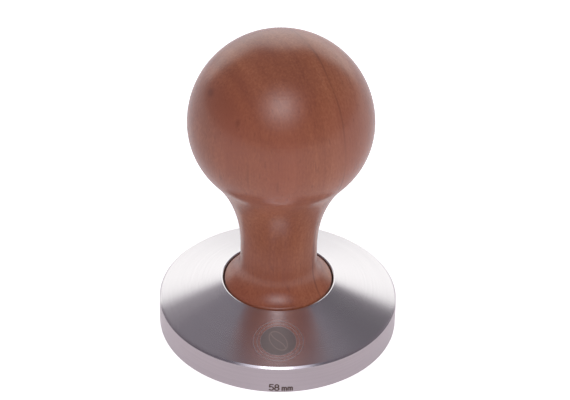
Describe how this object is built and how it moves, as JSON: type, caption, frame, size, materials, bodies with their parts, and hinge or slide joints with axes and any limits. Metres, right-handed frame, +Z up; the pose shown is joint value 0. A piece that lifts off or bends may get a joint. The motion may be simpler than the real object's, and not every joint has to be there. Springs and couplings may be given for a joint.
{
  "type": "espresso tamper",
  "caption": "Espresso tamper: turned wooden ball handle screwed onto a flat-faced steel base with a conical top, sized for a 58 mm basket.",
  "frame": {"origin": "centre of the flat working face at the bottom of the base", "axes": "+Z up along the turning axis, from the working face to the top of the ball; +Y away from the side that carries the marks"},
  "size_m": [0.058, 0.058, 0.0795],
  "materials": {
    "turned_steel": "fine turned, lightly polished",
    "screw_steel": "plain rolled thread",
    "insert_brass": "plain turned",
    "ring_rubber": "matt black",
    "handle_wood": "satin lacquer over reddish brown wood"
  },
  "bodies": {
    "base": {"steel_base": "turned_steel", "threaded_stud": "screw_steel"},
    "ring": {"seal_ring": "ring_rubber"},
    "handle": {"wooden_handle": "handle_wood", "handle_insert": "insert_brass"}
  },
  "joints": [
    {"name": "handle_lift", "type": "slide", "parent": "base", "child": "ring", "axis": [0, 0, 1], "range_m": [0, 0.01125]},
    {"name": "handle_turn", "type": "hinge", "parent": "ring", "child": "handle", "pos_m": [0, 0, 0.0101], "axis": [0, 0, 1], "range_deg": [0, 3240]}
  ],
  "couplings": [
    {"joint": "handle_lift", "follows": "handle_turn", "m_per_rad": 0.00019894}
  ]
}
